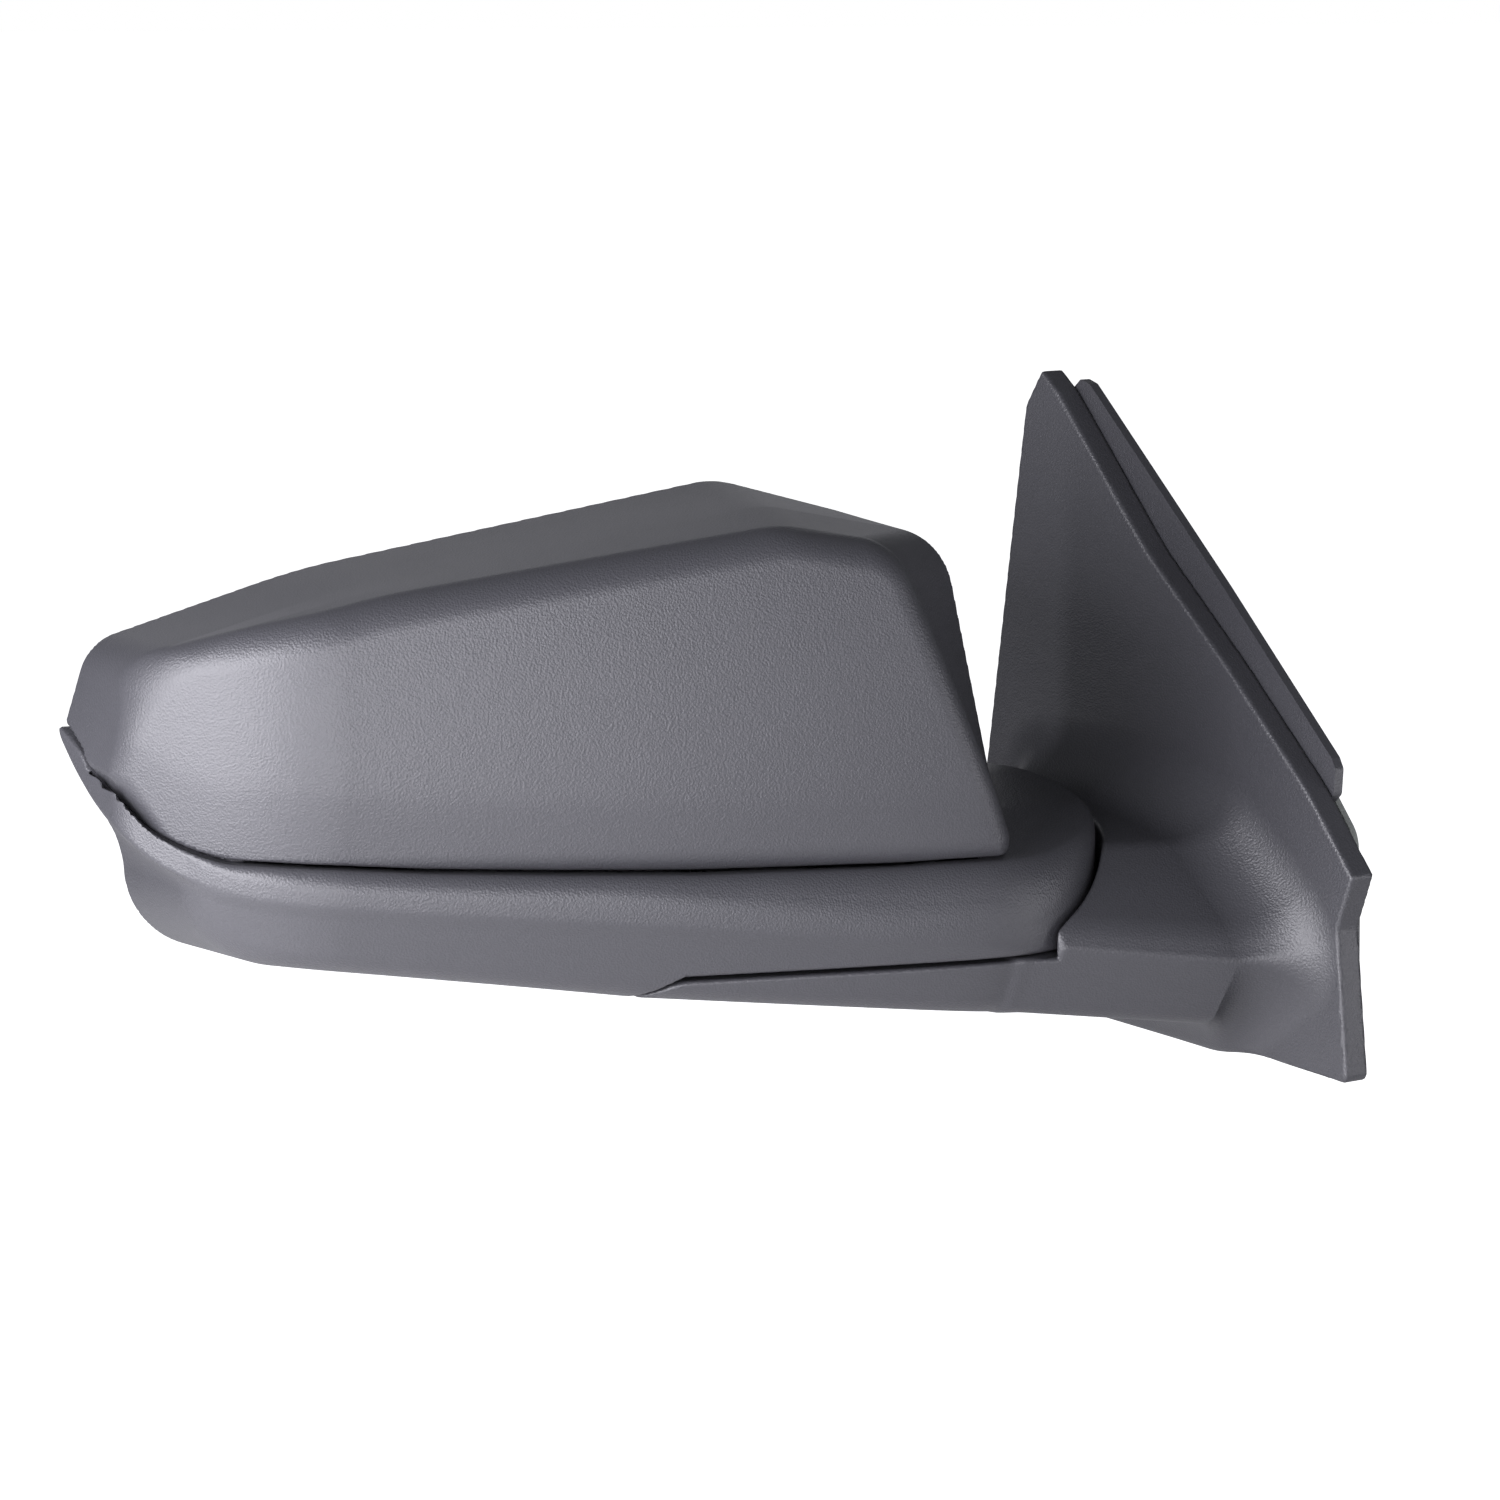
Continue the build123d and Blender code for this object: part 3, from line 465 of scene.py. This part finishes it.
def piece(name, points, faces, normals, body, stands_for, material):
    """Object of a mesh in millimetres, riding on its body and standing for a CAD node."""
    mesh = bpy.data.meshes.new(name)
    mesh.from_pydata((points * MM).tolist(), [], faces.tolist())
    mesh.polygons.foreach_set("use_smooth", [True] * len(mesh.polygons))
    mesh.normals_split_custom_set_from_vertices(normals.tolist())
    made = bpy.data.objects.new(name, mesh)
    bpy.context.scene.collection.objects.link(made)
    mesh.materials.append(material)
    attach(made, body)
    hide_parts(stands_for)


def head_piece(name, field, box, stands_for, material):
    """A cover of the head, meshed in the head's own directions."""
    points, faces, normals = meshed(field, box)
    turn = np.array([OUT, AHEAD, (0, 0, 1)])
    points, normals = points @ turn + FOLD, normals @ turn
    piece(name, points, faces, normals, "head", stands_for, material)


# ---------------------------------------------------------------- materials
SATIN_BLACK = (0.030, 0.030, 0.034)
GRAIN_GLOSS = 0.42
GRAIN_CELL = 0.0006     # metres, like the cells and depths in MATERIALS
GRAIN_DEPTH = 0.0002
TRACK_DEPTH = 0.00005


def new_material(name):
    made = bpy.data.materials.new(name)
    made.use_nodes = True
    nodes, links = made.node_tree.nodes, made.node_tree.links
    return made, nodes, links, nodes["Principled BSDF"]


def link_tone(nodes, links, shader, place, colour, roughness, scale, spread):
    """Slight drift of colour and gloss over the surface."""
    cloud = nodes.new("ShaderNodeTexNoise")
    cloud.inputs["Scale"].default_value = scale
    cloud.inputs["Detail"].default_value = 4
    links.new(place, cloud.inputs["Vector"])
    tone = nodes.new("ShaderNodeMix")
    tone.data_type = "RGBA"
    tone.inputs["A"].default_value = (*[c * (1 - spread) for c in colour], 1)
    tone.inputs["B"].default_value = (*[min(1, c * (1 + spread)) for c in colour], 1)
    links.new(cloud.outputs["Fac"], tone.inputs["Factor"])
    links.new(tone.outputs["Result"], shader.inputs["Base Color"])
    worn = nodes.new("ShaderNodeMapRange")
    worn.inputs["To Min"].default_value = roughness * 0.9
    worn.inputs["To Max"].default_value = roughness * 1.12
    links.new(cloud.outputs["Fac"], worn.inputs["Value"])
    links.new(worn.outputs["Result"], shader.inputs["Roughness"])


def link_bump(nodes, links, shader, height, strength, depth):
    bump = nodes.new("ShaderNodeBump")
    bump.inputs["Strength"].default_value = strength
    bump.inputs["Distance"].default_value = depth
    links.new(height, bump.inputs["Height"])
    links.new(bump.outputs["Normal"], shader.inputs["Normal"])


def moulded(name, colour, roughness, cell, depth, spread=0.1):
    """Moulded plastic, rubber or foam with a pebble grain of cell-sized bumps."""
    made, nodes, links, shader = new_material(name)
    place = nodes.new("ShaderNodeTexCoord").outputs["Object"]
    grain = nodes.new("ShaderNodeTexVoronoi")
    grain.feature = "SMOOTH_F1"
    grain.inputs["Scale"].default_value = 1 / cell
    grain.inputs["Smoothness"].default_value = 0.6
    links.new(place, grain.inputs["Vector"])
    fine = nodes.new("ShaderNodeTexNoise")
    fine.inputs["Scale"].default_value = 2.2 / cell
    fine.inputs["Detail"].default_value = 2
    links.new(place, fine.inputs["Vector"])
    mixed = nodes.new("ShaderNodeMath")
    mixed.operation = "MULTIPLY_ADD"
    mixed.inputs[1].default_value = 0.5
    links.new(fine.outputs["Fac"], mixed.inputs[0])
    links.new(grain.outputs["Distance"], mixed.inputs[2])
    link_bump(nodes, links, shader, mixed.outputs[0], 0.5, depth)
    link_tone(nodes, links, shader, place, colour, roughness, 18, spread)
    return made


def metal(name, colour, roughness, stretch, depth, spread=0.08):
    """Metal with tool marks: noise drawn out by stretch along (x, y, z)."""
    made, nodes, links, shader = new_material(name)
    shader.inputs["Metallic"].default_value = 1.0
    place = nodes.new("ShaderNodeTexCoord").outputs["Object"]
    drawn = nodes.new("ShaderNodeMapping")
    drawn.inputs["Scale"].default_value = stretch
    links.new(place, drawn.inputs["Vector"])
    marks = nodes.new("ShaderNodeTexNoise")
    marks.inputs["Scale"].default_value = 900
    marks.inputs["Detail"].default_value = 3
    links.new(drawn.outputs["Vector"], marks.inputs["Vector"])
    link_bump(nodes, links, shader, marks.outputs["Fac"], 0.4, depth)
    link_tone(nodes, links, shader, place, colour, roughness, 60, spread)
    return made


def printed_film(name):
    """Heater film with its printed track showing as parallel lines."""
    made, nodes, links, shader = new_material(name)
    place = nodes.new("ShaderNodeTexCoord").outputs["Object"]
    track = nodes.new("ShaderNodeTexWave")
    track.inputs["Scale"].default_value = 60
    track.inputs["Distortion"].default_value = 1.5
    links.new(place, track.inputs["Vector"])
    ink = nodes.new("ShaderNodeMix")
    ink.data_type = "RGBA"
    ink.inputs["A"].default_value = (0.25, 0.13, 0.08, 1)
    ink.inputs["B"].default_value = (0.08, 0.06, 0.05, 1)
    links.new(track.outputs["Fac"], ink.inputs["Factor"])
    links.new(ink.outputs["Result"], shader.inputs["Base Color"])
    shader.inputs["Roughness"].default_value = 0.4
    link_bump(nodes, links, shader, track.outputs["Fac"], 0.3, TRACK_DEPTH)
    return made


def silvered(name):
    """Chromed mirror glass with a faint haze here and there."""
    made, nodes, links, shader = new_material(name)
    shader.inputs["Metallic"].default_value = 1.0
    shader.inputs["Coat Weight"].default_value = 1.0
    shader.inputs["Coat Roughness"].default_value = 0.02
    place = nodes.new("ShaderNodeTexCoord").outputs["Object"]
    link_tone(nodes, links, shader, place, (0.80, 0.84, 0.88), 0.045, 25, 0.03)
    return made


MATERIALS = {
    "grained_plastic": moulded("satin_black_grain", SATIN_BLACK, GRAIN_GLOSS, GRAIN_CELL, GRAIN_DEPTH),
    "smooth_plastic": moulded("spark_textured_black", (0.020, 0.020, 0.022), 0.42, 0.0006, 0.00003),
    "foam": moulded("grey_foam", (0.16, 0.17, 0.16), 0.9, 0.0012, 0.0003, 0.2),
    "rubber": moulded("matt_rubber", (0.018, 0.018, 0.018), 0.75, 0.0015, 0.00004),
    "white_nylon": moulded("natural_nylon", (0.72, 0.70, 0.62), 0.45, 0.003, 0.00002, 0.05),
    "glass_filled_nylon": moulded("glass_filled_nylon", (0.035, 0.035, 0.038), 0.6, 0.0018, 0.00006, 0.2),
    "adjuster_plastic": moulded("adjuster_grey", (0.09, 0.09, 0.10), 0.5, 0.0012, 0.00003),
    "acetal": moulded("natural_acetal", (0.74, 0.72, 0.66), 0.38, 0.003, 0.00002, 0.05),
    "cast_alloy": metal("cast_alloy", (0.55, 0.56, 0.57), 0.52, (0.6, 0.6, 0.6), 0.0002, 0.15),
    "zinc_steel": metal("zinc_plated", (0.62, 0.64, 0.66), 0.32, (0.3, 1.0, 1.0), 0.00003),
    "steel": metal("turned_steel", (0.50, 0.51, 0.52), 0.30, (0.4, 0.4, 3.0), 0.00004),
    "sintered_steel": metal("sintered_steel", (0.26, 0.26, 0.27), 0.6, (1.4, 1.4, 1.4), 0.0001, 0.2),
    "spring_steel": metal("spring_wire", (0.16, 0.16, 0.18), 0.38, (0.5, 0.5, 1.5), 0.00003),
    "motor_can": metal("plated_can", (0.60, 0.60, 0.62), 0.28, (1.0, 1.0, 0.2), 0.00002),
    "brass": metal("machined_brass", (0.78, 0.58, 0.26), 0.30, (1.0, 1.0, 0.3), 0.00003),
    "heater_film": printed_film("heater_film"),
    "mirror_glass": silvered("mirror_glass")}

for subpart in frame["record"]["subparts"]:
    for place in frame["nodes"][subpart["node"]].material_slots:
        place.material = MATERIALS[subpart["material_slot"]]

satin_black = MATERIALS["grained_plastic"]
head_piece("mirror_cap_skin", cap_field, CAP_BOX, "mirror_cap", satin_black)
head_piece("lower_housing_skin", lower_field, LOWER_BOX, "lower_housing", satin_black)
points, faces, normals = meshed(base_field, BASE_BOX)
piece("base_cover_skin", points, faces, normals, "root", "base_cover", satin_black)

# ---------------------------------------------------------------- floor, light and camera
FLOOR_Z = -0.16
FLOOR_HALF = 40


def floor():
    mesh = bpy.data.meshes.new("floor")
    corners = [(x * FLOOR_HALF, y * FLOOR_HALF, FLOOR_Z) for x, y in ((-1, -1), (1, -1), (1, 1), (-1, 1))]
    mesh.from_pydata(corners, [], [(0, 1, 2, 3)])
    made = bpy.data.objects.new("floor", mesh)
    bpy.context.scene.collection.objects.link(made)
    material, nodes, links, shader = new_material("pale_floor")
    shader.inputs["Base Color"].default_value = (0.85, 0.85, 0.85, 1)
    shader.inputs["Roughness"].default_value = 0.9
    shader.inputs["Emission Color"].default_value = (1, 1, 1, 1)
    rays = nodes.new("ShaderNodeLightPath")
    glow = nodes.new("ShaderNodeMapRange")
    glow.inputs["To Min"].default_value = 0.03
    glow.inputs["To Max"].default_value = 1.0
    links.new(rays.outputs["Is Camera Ray"], glow.inputs["Value"])
    links.new(glow.outputs["Result"], shader.inputs["Emission Strength"])
    mesh.materials.append(material)


# (name, azimuth about the object in degrees, distance, height, size, power)
SOFT_BOXES = [
    ("left_box", -68, 0.46, 0.11, (0.30, 0.42), 5.2),
    ("outer_left_box", -100, 0.46, 0.13, (0.30, 0.42), 3.8),
    ("low_left_box", -25, 0.45, 0.0, (0.25, 0.20), 1.4),
    ("front_box", -10, 1.2, 0.10, (0.60, 0.50), 4.4),
    ("right_box", 48, 0.55, 0.0, (0.20, 0.20), 0.5),
    ("back_box", 150, 1.3, 0.35, (0.90, 0.50), 0.8)]
LIT_MIDDLE = Vector((-0.2, 0.0, 0.03))


def soft_box(name, azimuth, distance, height, size, power):
    light = bpy.data.lights.new(name, "AREA")
    light.shape = "RECTANGLE"
    light.size, light.size_y = size
    light.energy = power
    light.color = (0.95, 0.94, 1.0)
    made = bpy.data.objects.new(name, light)
    bpy.context.scene.collection.objects.link(made)
    turn = math.radians(azimuth)
    made.location = (LIT_MIDDLE.x + distance * math.sin(turn),
                     LIT_MIDDLE.y - distance * math.cos(turn), height)
    made.rotation_euler = (LIT_MIDDLE - made.location).to_track_quat("-Z", "Y").to_euler()
    made.visible_camera = False


def surroundings():
    world = bpy.data.worlds.new("studio")
    bpy.context.scene.world = world
    world.use_nodes = True
    nodes, links = world.node_tree.nodes, world.node_tree.links
    nodes["Background"].inputs["Color"].default_value = (1, 1, 1, 1)
    nodes["Background"].inputs["Strength"].default_value = 1.0
    dim = nodes.new("ShaderNodeBackground")
    dim.inputs["Color"].default_value = (0.9, 0.93, 1.0, 1)
    dim.inputs["Strength"].default_value = 0.18
    rays = nodes.new("ShaderNodeLightPath")
    mix = nodes.new("ShaderNodeMixShader")
    links.new(rays.outputs["Is Camera Ray"], mix.inputs["Fac"])
    links.new(dim.outputs[0], mix.inputs[1])
    links.new(nodes["Background"].outputs[0], mix.inputs[2])
    links.new(mix.outputs[0], nodes["World Output"].inputs["Surface"])


CAMERA_AZIMUTH = -35.0
CAMERA_ELEVATION = 9.0
CAMERA_DISTANCE = 1.32
CAMERA_LENS = 115.2
CAMERA_TARGET = Vector((-0.12212, 0.02827, 0.02988))


def camera():
    data = bpy.data.cameras.new("camera")
    data.lens = CAMERA_LENS
    data.sensor_width = 36
    made = bpy.data.objects.new("camera", data)
    bpy.context.scene.collection.objects.link(made)
    turn, tilt = math.radians(CAMERA_AZIMUTH), math.radians(CAMERA_ELEVATION)
    back = Vector((math.sin(turn) * math.cos(tilt), -math.cos(turn) * math.cos(tilt), math.sin(tilt)))
    made.location = CAMERA_TARGET + back * CAMERA_DISTANCE
    made.rotation_euler = (-back).to_track_quat("-Z", "Y").to_euler()
    bpy.context.scene.camera = made


floor()
surroundings()
camera()
for name, azimuth, distance, height, size, power in SOFT_BOXES:
    soft_box(name, azimuth, distance, height, size, power)
bpy.context.scene.view_settings.view_transform = "Standard"
